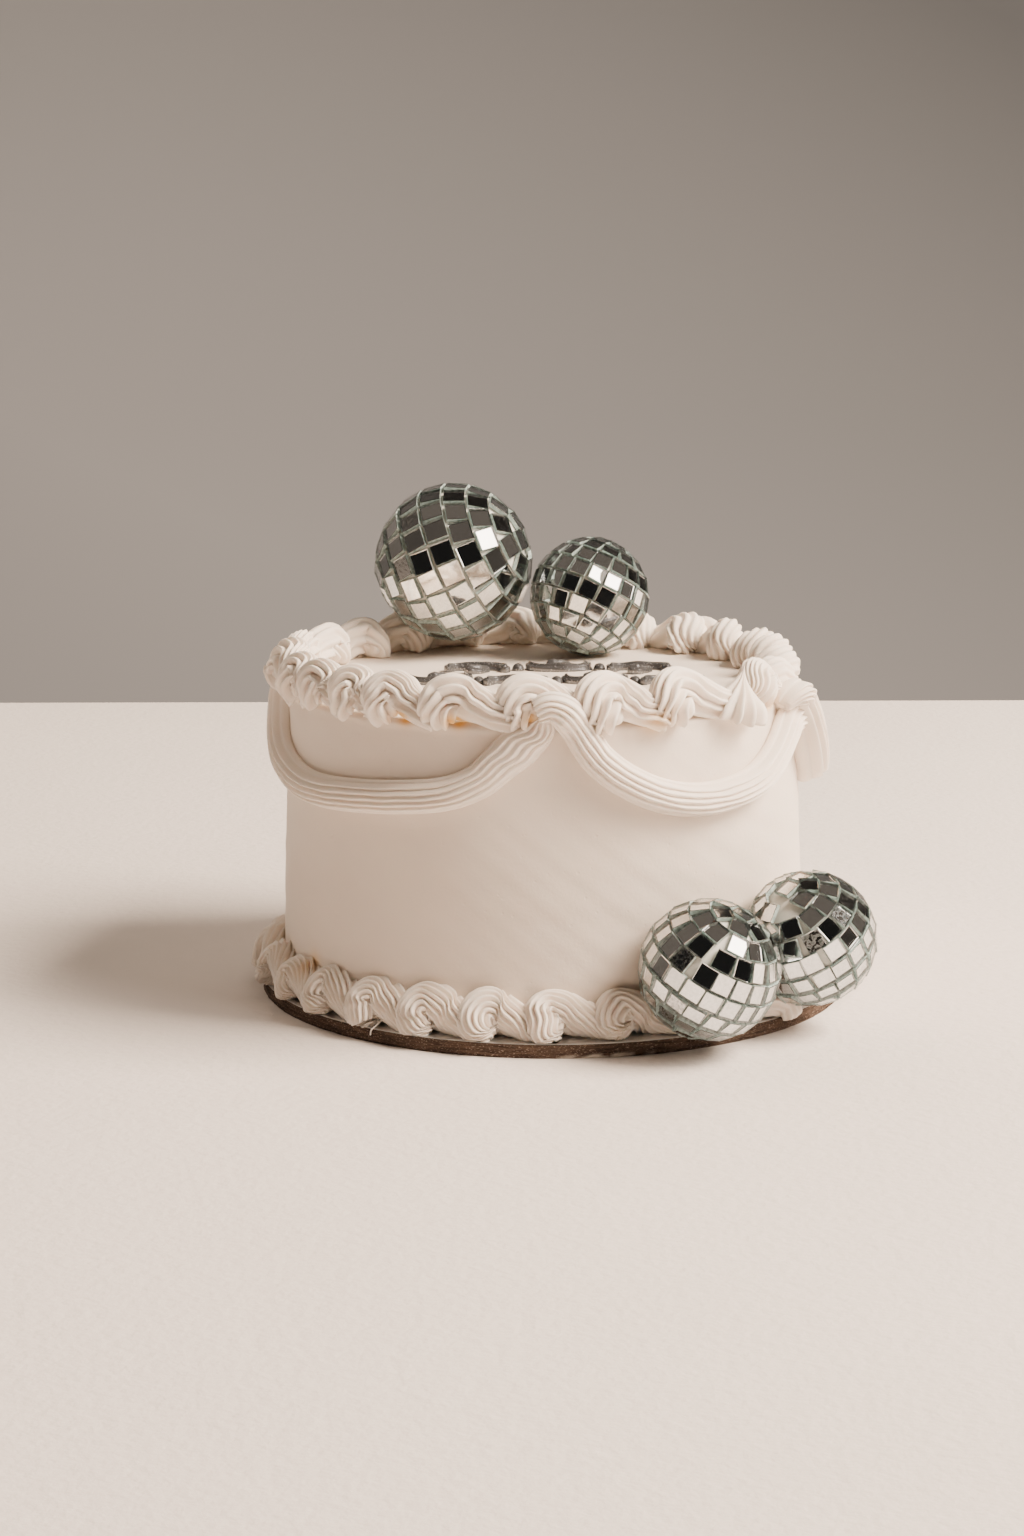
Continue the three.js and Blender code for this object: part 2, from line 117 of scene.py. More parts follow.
def drift(points, length, seed, waves=7):   # a smooth random field, about -1 to 1
    source = randomSource(seed)
    heading = unit(source.normal(size=(waves, 3)))
    pace = 2 * math.pi / (length * source.uniform(0.6, 1.6, waves))
    start = source.uniform(0, 2 * math.pi, waves)
    turns = points @ (heading * pace[:, None]).T + start
    return np.sin(turns).sum(-1) / math.sqrt(waves) * 0.8


def tube(rings, flip=False):   # skins rings of points, closed at both ends
    rows, count = rings.shape[:2]
    corners = rings.reshape(-1, 3)
    start = np.arange(rows - 1)[:, None] * count
    i = np.arange(count)[None, :]
    j = (i + 1) % count
    quads = np.stack([start + i, start + j, start + count + j, start + count + i], -1).reshape(-1, 4)
    middles = np.stack([rings[0].mean(0), rings[-1].mean(0)])
    firstMiddle = len(corners)
    lastMiddle = firstMiddle + 1
    last = (rows - 1) * count
    pairs = list(zip(i[0].tolist(), j[0].tolist()))
    caps = [(firstMiddle, b, a) for a, b in pairs]
    caps += [(lastMiddle, last + a, last + b) for a, b in pairs]
    faces = quads.tolist() + caps
    if flip:
        faces = [face[::-1] for face in faces]
    return np.vstack([corners, middles]), faces


def joined(parts):
    corners = []
    faces = []
    start = 0
    for points, polygons in parts:
        corners.append(points)
        faces += [tuple(start + k for k in polygon) for polygon in polygons]
        start += len(points)
    return np.vstack(corners), faces


def makePiece(name, shape, finishes, replaces=(), smooth=True, tones=None, faceFinish=None):
    corners, faces = shape
    mesh = bpy.data.meshes.new(name)
    mesh.from_pydata((np.asarray(corners) * mm).tolist(), [], faces)
    mesh.validate()
    mesh.update()
    for finish in finishes:
        mesh.materials.append(finish)
    if faceFinish is not None:
        mesh.polygons.foreach_set("material_index", np.asarray(faceFinish, np.int32))
    mesh.polygons.foreach_set("use_smooth", np.full(len(mesh.polygons), smooth))
    for tone, values in (tones or {}).items():
        layer = mesh.attributes.new(tone, "FLOAT", "POINT")
        layer.data.foreach_set("value", np.asarray(values, np.float32))
    item = bpy.data.objects.new(name, mesh)
    bpy.context.scene.collection.objects.link(item)
    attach(item, "root")
    if replaces:
        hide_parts(*replaces)


# Shader maths

class Wire:   # a node's output; maths on it adds Math nodes
    def __init__(self, tree, socket):
        self.tree = tree
        self.socket = socket

    def maths(self, operation, *values):
        return self.tree.node("Math", {"operation": operation}, dict(enumerate(values)))

    def __add__(self, other):
        return self.maths("ADD", self, other)

    def __radd__(self, other):
        return self.maths("ADD", other, self)

    def __rsub__(self, other):
        return self.maths("SUBTRACT", other, self)

    def __mul__(self, other):
        return self.maths("MULTIPLY", self, other)

    def __rmul__(self, other):
        return self.maths("MULTIPLY", other, self)

    def above(self, low, high):   # 0 below low, 1 above high
        inputs = {"Value": self, "From Min": low, "From Max": high, "To Min": 0.0, "To Max": 1.0}
        return self.tree.node("MapRange", {"clamp": True}, inputs)


class Tree:   # makes and links nodes
    def __init__(self, tree):
        self.tree = tree

    def node(self, kind, settings=None, inputs=None, output=0):
        item = self.tree.nodes.new("ShaderNode" + kind)
        for key, value in (settings or {}).items():
            setattr(item, key, value)
        for key, value in (inputs or {}).items():
            self.feed(item.inputs[key], value)
        return Wire(self, item.outputs[output])

    def feed(self, socket, value):
        if isinstance(value, Wire):
            self.tree.links.new(value.socket, socket)
        elif isinstance(value, tuple) and len(value) == 3 and socket.type == "RGBA":
            socket.default_value = (*value, 1)
        else:
            socket.default_value = value

    def mix(self, factor, first, second):
        return self.node("Mix", {"data_type": "RGBA"}, {0: factor, 6: first, 7: second}, 2)


class Finish(Tree):
    def __init__(self, name, **principled):
        self.material = bpy.data.materials.new(name)
        self.material.use_nodes = True
        super().__init__(self.material.node_tree)
        self.shader = self.tree.nodes["Principled BSDF"]
        for socket, value in principled.items():
            self.shader.inputs[socket.replace("_", " ")].default_value = value

    def place(self):
        return self.node("TexCoord", output="Object")

    def noise(self, scale, detail=3.0, stretch=None, roughness=0.5):
        where = self.place()
        if stretch:
            where = self.node("Mapping", None, {"Vector": where, "Scale": stretch})
        inputs = {"Vector": where, "Scale": scale, "Detail": detail, "Roughness": roughness}
        return self.node("TexNoise", None, inputs, "Fac")

    def tone(self, name):
        return self.node("Attribute", {"attribute_name": name}, None, "Fac")

    def bump(self, height, strength, distance):
        inputs = {"Height": height, "Strength": strength, "Distance": distance * mm}
        normal = self.node("Bump", None, inputs)
        self.feed(self.shader.inputs["Normal"], normal)

    def show(self, **links):
        for socket, value in links.items():
            self.feed(self.shader.inputs[socket.replace("_", " ")], value)
        return self.material


# the orange colour here is painted bounce light for crevices
icing = {"cloudy": 0.965, "hollow": 0.28, "bounceOrange": (0.78, 0.48, 0.15), "scatter": 1.4}


def icingFinish(name, base, grooveShade, grain, gloss):
    look = Finish(name, Subsurface_Weight=0.25, Specular_IOR_Level=gloss)
    look.shader.inputs["Subsurface Scale"].default_value = icing["scatter"] * mm
    look.shader.inputs["Subsurface Radius"].default_value = (1.0, 0.8, 0.65)
    clouds = look.noise(38, 2.0)
    fine = look.noise(grain, 4.0)
    color = look.mix(clouds.above(0.35, 0.7), base, tuple(v * icing["cloudy"] for v in base))
    # painted shade: grooves and hollows are mixed towards a darker, warmer colour, standing in for the shade
    # and bounced light among the ridges
    color = look.mix(look.tone("hollow") * icing["hollow"], color, grooveShade)
    # painted bounce light: crevices are mixed towards orange
    color = look.mix(look.tone("creviceBounce"), color, icing["bounceOrange"])
    rough = 0.42 + 0.16 * clouds + 0.06 * fine
    cells = look.node("TexVoronoi", None, {"Vector": look.place(), "Scale": 260.0, "Randomness": 1.0})
    pits = cells.above(0.06, 0.13)
    look.bump(fine * 0.5 + pits * 0.35 + look.noise(90, 2.0) * 0.6, 0.35, 0.35)
    return look.show(Base_Color=color, Roughness=rough)


sideIcing = icingFinish("sideIcing", (0.805, 0.72, 0.638), grooveShade=(0.72, 0.63, 0.50), grain=900, gloss=0.14)
pipedIcing = icingFinish("pipedIcing", (0.93, 0.85, 0.775), grooveShade=(0.76, 0.66, 0.54), grain=1400, gloss=0.26)


def fibreFinish():
    look = Finish("boardFibre", Specular_IOR_Level=0.3)
    layers = look.noise(420, 6.0, (0.35, 0.35, 4.0), 0.65)
    specks = look.noise(1500, 3.0, (1.0, 1.0, 2.2))
    color = look.mix(layers.above(0.35, 0.68), (0.030, 0.019, 0.014), (0.145, 0.094, 0.068))
    color = look.mix(specks.above(0.57, 0.72), color, (0.36, 0.27, 0.21))
    color = look.mix(look.tone("smear"), color, (0.80, 0.70, 0.60))
    look.bump(layers + 0.5 * specks, 1.0, 0.7)
    return look.show(Base_Color=color, Roughness=0.72 + 0.2 * specks)


def foilFinish():
    look = Finish("boardFoil", Metallic=1.0)
    creases = look.noise(60, 3.0)
    color = look.mix(creases, (0.60, 0.62, 0.64), (0.74, 0.76, 0.78))
    look.bump(creases + 0.2 * look.noise(500, 2.0), 0.25, 0.3)
    return look.show(Base_Color=color, Roughness=0.26 + 0.16 * creases)


def mirrorFinish():
    look = Finish("mirrorFace", Metallic=1.0)
    worn = look.tone("worn")
    grime = look.noise(1100, 4.0)
    specks = grime.above(0.42, 0.62) * (0.10 + worn * 0.9)
    color = look.mix(specks, (0.86, 0.865, 0.88), (0.17, 0.20, 0.20))
    rough = 0.015 + 0.04 * grime + 0.4 * worn * grime.above(0.4, 0.6)
    return look.show(Base_Color=color, Roughness=rough)


def edgeFinish():   # the ground sides of the glass, which show in the seams
    look = Finish("cutEdge", Specular_IOR_Level=0.6)
    chips = look.noise(900, 3.0)
    color = look.mix(chips.above(0.35, 0.7), (0.30, 0.39, 0.385), (0.58, 0.69, 0.67))
    look.bump(chips, 0.3, 0.15)
    return look.show(Base_Color=color, Roughness=0.18 + 0.2 * chips)


def glassFinish():
    look = Finish("cutGlass", Transmission_Weight=1.0, IOR=1.5)
    chips = look.noise(900, 3.0)
    color = look.mix(chips, (0.93, 0.97, 0.965), (0.97, 0.985, 0.985))
    look.bump(chips, 0.2, 0.1)
    return look.show(Base_Color=color, Roughness=0.02 + 0.06 * chips.above(0.5, 0.7))


def coreFinish():
    look = Finish("ballCore", Coat_Weight=0.5, Coat_Roughness=0.25)
    film = look.noise(240, 3.0)
    color = look.mix(film, (0.62, 0.64, 0.60), (0.82, 0.82, 0.78))
    look.bump(film, 0.4, 0.4)
    return look.show(Base_Color=color, Roughness=0.35 + 0.3 * film)


def silverFinish():
    look = Finish("silverIcing", Specular_IOR_Level=0.6, Coat_Weight=0.3, Coat_Roughness=0.12)
    flakes = look.noise(1800, 2.0)
    clouds = look.noise(160, 2.0)
    color = look.mix(clouds, (0.12, 0.12, 0.125), (0.27, 0.27, 0.28))
    color = look.mix(flakes.above(0.58, 0.72), color, (0.62, 0.62, 0.63))
    look.bump(flakes + clouds, 0.35, 0.25)
    return look.show(Base_Color=color, Roughness=0.2 + 0.22 * clouds, Metallic=0.6 + 0.25 * flakes)


boardFibre = fibreFinish()
boardFoil = foilFinish()
mirrorFace = mirrorFinish()
cutGlass = glassFinish()
cutEdge = edgeFinish()
ballCore = coreFinish()
silverIcing = silverFinish()
print("finishes made")


# Board

board = {
    "radius": 89.0, "thickness": 4.2, "shift": 3.1, "foil": 0.14, "edge": 0.35, "sides": 360, "edgeRows": 9,
    "torn": 0.14, "tornMost": 0.5,    # how far the fibre is torn back, on average and at most
    "smear": 11, "smearWidth": 8,     # azimuths where icing is wiped under the edge
}


def turned(profile, sides, centre=(0, 0)):   # profile of (radius, z) from axis to axis
    azimuth = np.arange(sides) * 360 / sides
    inner = np.array(profile[1:-1], float)
    rings = around(azimuth[None, :], inner[:, 0][:, None], inner[:, 1][:, None])
    rings = rings + np.array([*centre, 0])
    corners, faces = tube(rings)
    corners[-2] = (centre[0], centre[1], profile[0][1])
    corners[-1] = (centre[0], centre[1], profile[-1][1])
    return corners, faces


def makeBoard():
    high = board["thickness"] - board["foil"]
    radius, edge = board["radius"], board["edge"]
    middle = (board["shift"], 0)
    levels = np.linspace(edge, high - 0.1, board["edgeRows"])
    profile = [(0, 0), (radius * 0.5, 0), (radius - edge, 0)]
    profile += [(radius - 0.12, z) for z in levels] + [(radius - 0.35, high), (0, high)]
    corners, faces = turned(profile, board["sides"], middle)
    outer = distanceOf(corners, middle) > radius - 1
    torn = drift(corners * (1, 1, 4), 5, 3) + 0.7 * drift(corners * (1, 1, 5), 1.8, 4)
    away = unit((corners - (*middle, 0)) * (1, 1, 0))
    corners -= away * (outer * np.clip(board["torn"] * (1 + torn), 0, board["tornMost"]))[:, None]
    beside = (azimuthOf(corners) - board["smear"]) / board["smearWidth"]
    smear = outer * np.exp(-beside ** 4) * (1 - smoothStep(0.5, 1.5, corners[:, 2]))
    smear *= smoothStep(-0.3, 0.3, drift(corners, 4, 6))
    makePiece("board_fibre", (corners, faces), [boardFibre], ["cake_board"],
              tones={"smear": smear})
    top = board["thickness"]
    foil = [(0, high), (radius - 0.5, high), (radius - 0.2, high + 0.04), (radius - 0.25, top - 0.02)]
    foil += [(radius - 0.6, top), (radius * 0.6, top), (0, top)]
    makePiece("board_foil", turned(foil, board["sides"], middle), [boardFoil])


makeBoard()
print("board made")


# Mirror balls, first their places, as icing is pressed by them

# first is the angle from the pole to the first row, and starts has where a row's first tile sits.
# bright tiles catch the window, mottled ones have lost silver. Both are (row, degrees round it).
balls = {
    "top_large": {
        "radius": 23.9, "tile": 6.7, "pitch": 7.4,
        "centre": (-28.1, 55.8, 121.2), "pole": (0.906, -0.153, 0.395), "first": 9.8,
        "starts": {2: 348, 3: 356, 4: 5, 5: 6, 6: 26}, "bright": [(2, 348)],
    },
    "top_small": {
        "radius": 17.9, "tile": 5.2, "pitch": 5.75,
        "centre": (14.9, 50.3, 110.8), "pole": (0.412, 0.309, 0.857), "first": 4.8,
        "starts": {3: 298, 4: 320, 5: 319, 6: 315}, "bright": [(4, 320), (4, 340)],
    },
    "foot_left": {
        "radius": 19.15, "tile": 5.6, "pitch": 6.05,
        "centre": (46.5, -83.9, 24.4), "pole": (0.468, -0.21, 0.858), "first": 0.7,
        "starts": {1: 16, 2: 24, 3: 16, 4: 7.5, 5: 8.4, 6: 2}, "bright": [(2, 24)],
        "mottled": [(4, 343), (7, 350)], "gap": 0, "loose": 4,   # tiles stand this far off the gap
    },
    "foot_right": {
        "radius": 18.65, "tile": 5.5, "pitch": 6.0,
        "centre": (76.3, -59.3, 27.2), "pole": (-0.444, -0.342, 0.828), "first": 5.2,
        "starts": {1: 183, 2: 137, 3: 151, 4: 144.7, 5: 144, 6: 141},
        "mottled": [(3, 196), (3, 151)], "missing": [(1, 120), (0, 0)], "gap": 150, "loose": 3,
    },
}
pressRoom = 0.7   # icing stays this far off the middle of a tile


def pressed(points, names):   # icing gives way to the balls
    for name in names:
        centre = np.array(balls[name]["centre"])
        reach = balls[name]["radius"] + pressRoom
        away = points - centre
        distance = np.linalg.norm(away, axis=-1, keepdims=True)
        points = np.where(distance < reach, centre + away / np.maximum(distance, 0.01) * reach, points)
    return points


# Iced cake

cake = {
    "foot": 79.6, "rim": 76.0, "bulge": 0.35, "bottom": 4.2, "top": 92.2, "rounding": 2.2,
    "columns": 540, "sideRows": 120, "rimRows": 8, "topRows": 46,
    "waves": 0.28, "ripples": 0.10, "dips": 0.16,   # unevenness of the side and the top
    "seams": [(-33.5, 0.15), (-36.5, 0.09)],   # azimuth and depth of a palette knife's seams
    "seamWidth": 0.45, "seamWander": 0.25,     # degrees
    "inset": 0.3,   # the side is drawn in by this, as its waves go both ways
}


def wallRadius(z):
    rise = np.clip((z - cake["bottom"]) / (cake["top"] - cake["bottom"]), 0, 1)
    return cake["foot"] + (cake["rim"] - cake["foot"]) * rise + cake["bulge"] * np.sin(np.pi * rise)


creviceBounces = [   # painted bounce light: a warm orange painted into these crevices, standing in for light bounced round among the cream: azimuth, height, reach, strength
    (-30.9, 93.2, 2.2, 1.5), (-24, 95.2, 1.2, 0.45), (-18.2, 93.4, 2.2, 1.5), (-2.2, 94.8, 2.0, 1.2),
    (24.1, 92.6, 3.4, 0.6), (51.5, 96.6, 1.8, 0.7), (60, 93.0, 2.4, 1.4),
    (71, 78, 3.5, 0.5), (-58, 16, 3.0, 0.5),
]


def creviceBounceAt(corners):
    azimuth = azimuthOf(corners)
    creviceBounce = np.zeros(len(corners))
    for place, height, reach, strength in creviceBounces:
        sideways = (azimuth - place) * math.radians(cake["rim"])
        creviceBounce += strength * np.exp(-(sideways ** 2 + (corners[:, 2] - height) ** 2) / reach ** 2)
    return creviceBounce * smoothStep(cake["rim"] - 9, cake["rim"] - 4, distanceOf(corners))   # none further in


def makeCake():
    bottom, top, rounding = cake["bottom"], cake["top"], cake["rounding"]
    profile = [(0, bottom), (40, bottom), (76, bottom)]
    profile += [(wallRadius(z), z) for z in np.linspace(bottom, top - rounding, cake["sideRows"])]
    rim = wallRadius(top - rounding) - rounding
    for angle in np.radians(np.linspace(12, 90, cake["rimRows"])):
        profile.append((rim + rounding * np.cos(angle), top - rounding + rounding * np.sin(angle)))
    profile += [(radius, top) for radius in np.linspace(rim - 1.2, 1.2, cake["topRows"])] + [(0, top)]
    corners, faces = turned(profile, cake["columns"])
    z = corners[:, 2]
    away = unit(corners * (1, 1, 0))
    onSide = smoothStep(bottom + 0.5, bottom + 6, z) * (1 - smoothStep(top - 3, top - 0.5, z))
    flats = cake["waves"] * drift(corners, 46, 11) + cake["ripples"] * drift(corners * (1, 1, 2.5), 13, 12)
    azimuth = azimuthOf(corners)
    for place, depth in cake["seams"]:
        beside = (azimuth - place - cake["seamWander"] * np.sin(z / 9)) / cake["seamWidth"]
        flats -= depth * np.exp(-beside ** 2) * smoothStep(20, 40, z)
    corners += away * (onSide * (flats - cake["inset"]))[:, None]
    onTop = (z > top - 0.5) * smoothStep(0, 12, rim - distanceOf(corners))
    corners[:, 2] += onTop * cake["dips"] * (drift(corners, 24, 13) - 1)
    corners = pressed(corners, ["foot_left", "foot_right"])
    makePiece("iced_cake_side", (corners, faces), [sideIcing], ["iced_cake"],
              tones={"hollow": np.zeros(len(corners)), "creviceBounce": np.clip(creviceBounceAt(corners), 0, 1)})


makeCake()
print("cake made")


# Piped borders: every shell is a ridged rope that wells up at its head and is drawn out into a tail

# A path's points are (mm along the border, distance from the axis, height). Pairs are for the head
# and the tail. Values under rear take over behind the cake.
topBorder = {
    "path": [(5.4, 75.4, 93.4), (4.7, 76.9, 94.8), (4.0, 77.2, 97.0), (4.0, 76.2, 99.2), (6.0, 75.2, 100.2),
             (10.2, 74.8, 99.2), (14.6, 75.6, 97.0), (19.2, 76.8, 94.8), (23.8, 77.2, 93.2)],
    "radius": 76.0, "pitch": 19.5, "girth": 6.3, "start": 0.86, "head": 0.25, "tail": 0.6,
    "ridges": 13, "finer": 0.68, "groove": (0.34, 0.30), "sharp": (0.15, 0.5),
    "crest": (-1, -0.35, 1), "twist": -0.25,
    "inset": 4.0,   # those at the right sit this far in
    "rear": {
        "path": [(5.6, 71.8, 92.6), (4.8, 71.8, 94.4), (4.0, 72.4, 96.6), (4.0, 74.0, 98.2),
                 (6.0, 75.4, 98.4), (10.0, 76.2, 97.2), (14.4, 76.8, 95.4), (19.0, 77.2, 93.8),
                 (23.8, 77.4, 92.8)],
        "ridges": 10, "finer": 0.3, "groove": (0.187, 0.165), "crest": (-1, 0.6, 1),
    },
}
footBorder = {
    "path": [(7.6, 82.6, 3.2), (6.2, 83.0, 5.0), (4.8, 82.6, 7.4), (4.8, 81.2, 9.6), (6.8, 79.8, 10.9),
             (10.6, 79.2, 10.7), (15.0, 79.6, 9.2), (19.4, 80.6, 7.2), (23.6, 81.6, 5.0)],
    "radius": 84.0, "pitch": 18.6, "girth": 6.5, "start": 0.8, "head": 0.3, "tail": 0.86,
    "ridges": 14, "finer": 0.35, "groove": (0.32, 0.34), "sharp": (0.35, 0.55),
    "crest": (-0.6, 0.3, 1), "twist": -1.3, "inset": 0.0, "rear": {},
}
shellSteps = {"along": 40, "perRidge": 6}
rearPart = {"from": (50, 68), "to": (225, 272)}   # azimuths over which the rear's form comes and goes
frontShells = [-73, -61.5, -49, -38.5, -25, -8.5, 8.5, 24]
rearShells = [56] + [65 + 14.6 * i for i in range(15)]   # the first closes the gap behind the peak
footShellCount = 28
peak = {   # the last front shell is pulled up to a point
    "path": [(45.8, 75.6, 90.4), (46.0, 76.6, 93.4), (46.4, 76.8, 96.8), (47.2, 76.8, 100.2),
             (48.2, 76.8, 103.6), (48.9, 77.0, 107.2)],   # azimuth, distance, height
    "girth": 9.0, "waist": 1.5, "ridges": 10, "groove": 0.42, "sharp": 0.55, "twist": 0.9,
}
lump = {   # the balls press this out between them
    "path": [(42.5, 84.0, 7.0), (45.6, 87.2, 8.4), (48.0, 89.2, 8.6), (49.8, 90.7, 7.2), (50.6, 92.0, 5.0),
             (50.9, 92.6, 3.2)],
    "girth": 4.4, "ridges": 7, "finer": 0.4, "groove": 0.30, "sharp": 0.3, "twist": 0.6,
}
thread = {   # hangs over the board's edge
    "path": [(-33.0, 84.0, 6.6), (-33.6, 86.4, 4.9), (-34.0, 87.6, 3.9), (-34.2, 87.7, 2.4)],
    "girth": 0.22, "steps": 16,
}


def ridged(place, ridges, sharp):   # 1 on a crest, 0 in a groove
    x = np.arcsin(np.abs(np.sin(place * ridges / 2)))
    return (1 - sharp) * np.cos(x) + sharp * (1 - np.sin(x))


def sweep(line, girth, crest, ridges, perRidge, groove, sharp, spin, source, finer=0.0):
    along = unit(np.gradient(line, axis=0))
    crest = np.array(crest, float)
    up = unit(crest - (along @ crest)[:, None] * along)
    side = np.cross(along, up)
    phase = np.arange(ridges * perRidge) * 2 * np.pi / (ridges * perRidge)
    share = ridged(phase[None, :], ridges, sharp)
    angle = phase - finer * np.sin(phase)   # crowds the ridges round the crest
    lobes = 1 + 0.06 * np.sin(angle * 2 + source.uniform(0, 6))
    lobes = lobes + 0.05 * np.sin(angle * 3 + source.uniform(0, 6))
    depth = groove * (1 - finer * np.cos(phase))   # wider ridges are deeper
    reach = girth[:, None] * lobes * (1 - depth * (1 - share))
    turn = angle[None, :] + spin[:, None]
    rings = line[:, None] + reach[..., None] * (
        np.cos(turn)[..., None] * up[:, None] + np.sin(turn)[..., None] * side[:, None])
    return rings, 1 - np.broadcast_to(share, rings.shape[:2])


def skinned(rings, hollow, flip=False):   # with each corner's hollow, also for the two end points
    corners, faces = tube(rings, flip)
    return corners, faces, np.concatenate([hollow.ravel(), [0.5, 0.5]])


def shell(border, azimuth, stretch, size, rear, source):
    def blended(key):
        front = np.array(border[key], float)
        return front * (1 - rear) + np.array(border["rear"].get(key, front)) * rear

    route = blended("path")
    route[:, 0] *= stretch
    route += source.normal(0, 0.25, route.shape) * (1, 0.8, 0.7)
    line = smoothPath(route, shellSteps["along"])
    steps = np.linalg.norm(np.diff(line, axis=0), axis=1)
    part = np.concatenate([[0], np.cumsum(steps)]) / steps.sum()
    swell = border["start"] + (1 - border["start"]) * smoothStep(0, border["head"], part)
    thin = 1 - (1 - border["tail"]) * smoothStep(border["head"] * 1.1, 1, part)
    girth = border["girth"] * size * swell * thin * roundEnd(part, 0.08)
    tail = smoothStep(0.3, 0.8, part)[:, None]
    groove, sharp = (low + (high - low) * tail for low, high in (blended("groove"), blended("sharp")))
    spin = 0.08 * np.sin(5 * part + source.uniform(0, 6))
    spin = spin + source.uniform(-0.15, 0.15) + border["twist"] * part
    rings, hollow = sweep(line, girth, blended("crest"), round(float(blended("ridges"))),
                          shellSteps["perRidge"], groove, sharp, spin, source, float(blended("finer")))
    azimuths = azimuth + np.degrees(rings[..., 0] / border["radius"])
    inset = border["inset"] * np.clip(np.sin(np.radians(azimuths)), 0, 1) ** 3
    return skinned(around(azimuths, rings[..., 1] - inset, rings[..., 2]), hollow, flip=True)


def pulledPeak(source):
    line = smoothPath([around(*point) for point in peak["path"]], 40)
    part = np.linspace(0, 1, len(line))
    drawn = np.maximum(1 - smoothStep(0.1, 1.03, part), 0.01) ** peak["waist"]
    girth = peak["girth"] * roundEnd(part, 0.1) * drawn
    rings, hollow = sweep(line, girth, (0.5, 0.6, 0.2), peak["ridges"], shellSteps["perRidge"],
                          peak["groove"], peak["sharp"], peak["twist"] * part, source)
    return skinned(rings, hollow)


def pressedLump(source):
    line = smoothPath([around(*point) for point in lump["path"]], 32)
    part = np.linspace(0, 1, len(line))
    girth = lump["girth"] * roundEnd(np.minimum(part, 1 - part), 0.2)
    rings, hollow = sweep(line, girth, (0.3, -1, 0.6), lump["ridges"], shellSteps["perRidge"],
                          lump["groove"], lump["sharp"], lump["twist"] * part, source, lump["finer"])
    corners, faces, hollow = skinned(rings, hollow)
    onBoard = distanceOf(corners, (board["shift"], 0)) < board["radius"]
    corners[:, 2] = np.where(onBoard, aboveBoard(corners)[:, 2], corners[:, 2])
    return corners, faces, hollow


def strayThread(source):
    steps = thread["steps"]
    line = smoothPath([around(*point) for point in thread["path"]], steps)
    girth = np.full(steps, thread["girth"])
    rings, hollow = sweep(line, girth, (0, -1, 0.4), 4, 2, 0.0, 0.0, np.zeros(steps), source)
    corners, faces = tube(rings)
    return corners, faces, np.zeros(len(corners))


def aboveCake(corners):
    onTop = distanceOf(corners) < cake["rim"] - 1
    corners[:, 2] = np.where(onTop, np.maximum(corners[:, 2], cake["top"] - 0.3), corners[:, 2])
    return corners


def aboveBoard(corners):
    return np.maximum(corners, (-np.inf, -np.inf, board["thickness"] + 0.05))


def rearShare(azimuth):   # 0 in front, 1 behind
    azimuth = azimuth % 360
    return float(smoothStep(*rearPart["from"], azimuth) * (1 - smoothStep(*rearPart["to"], azimuth)))


def makeBorder(name, border, azimuths, seed, floor, pressers, extra, node):
    source = randomSource(seed)
    shells = []
    for azimuth, following in zip(azimuths, [*azimuths[1:], azimuths[0] + 360]):
        room = min(math.radians(following - azimuth) * border["radius"], border["pitch"] * 1.25)
        stretch = room / border["pitch"] * (1 + source.normal(0, 0.03))
        size = (0.75 + 0.25 * room / border["pitch"]) * (1 + source.normal(0, 0.03))
        shells.append(shell(border, azimuth, stretch, size, rearShare(azimuth), source))
    shells = [(floor(corners), faces, hollow) for corners, faces, hollow in shells]
    shells += [make(source) for make in extra]
    corners, faces = joined([(pressed(corners, pressers), faces) for corners, faces, hollow in shells])
    hollow = np.concatenate([hollow for corners, faces, hollow in shells])
    # painted bounce light, stronger in the grooves
    creviceBounce = creviceBounceAt(corners) * (0.6 + 0.4 * hollow)
    makePiece(name, (corners, faces), [pipedIcing], [node],
              tones={"hollow": hollow, "creviceBounce": np.clip(creviceBounce, 0, 1)})


footSource = randomSource(11)
footShells = [-2.8 + 360 * i / footShellCount + footSource.uniform(-0.6, 0.6) for i in range(footShellCount)]
makeBorder("top_border_shells", topBorder, frontShells + rearShells, 5, aboveCake,
           ["top_large", "top_small"], [pulledPeak], "top_border")
makeBorder("foot_border_shells", footBorder, footShells, 23, aboveBoard,
           ["foot_left", "foot_right"], [pressedLump, strayThread], "foot_border")
print("borders piped")


# Swags

swagShape = {
    "width": 9.8, "proud": 6.3, "ridges": 6, "groove": 0.2, "sharp": 0.12,
    "steps": 190, "perRidge": 10, "backCorners": 7,
    "fall": 0.985, "fullness": 2.4, "back": 0.25,   # form of the section
    "headLength": 9, "head": 0.75, "flareLength": 34, "tipLength": 11, "tip": 0.22,
    "waver": 0.06, "waverPace": 17.0, "ripple": 0.7, "ripplePace": 9.0, "rippleLength": 24,
    "uneven": 0.05, "unevenPace": 7,
    "over": (91.5, 96, 3.2),   # from and to these heights it climbs this far over the border
}
drape = [   # share of the way, height
    (-0.02, 97.0), (0.015, 98.4), (0.052, 96.8), (0.086, 92.3), (0.12, 86.6), (0.152, 82.2),
    (0.215, 77.0), (0.305, 72.2), (0.41, 69.4), (0.525, 69.1), (0.655, 71.6), (0.762, 76.9),
    (0.841, 83.0), (0.904, 88.4), (0.962, 92.6), (1.0, 95.4),
]
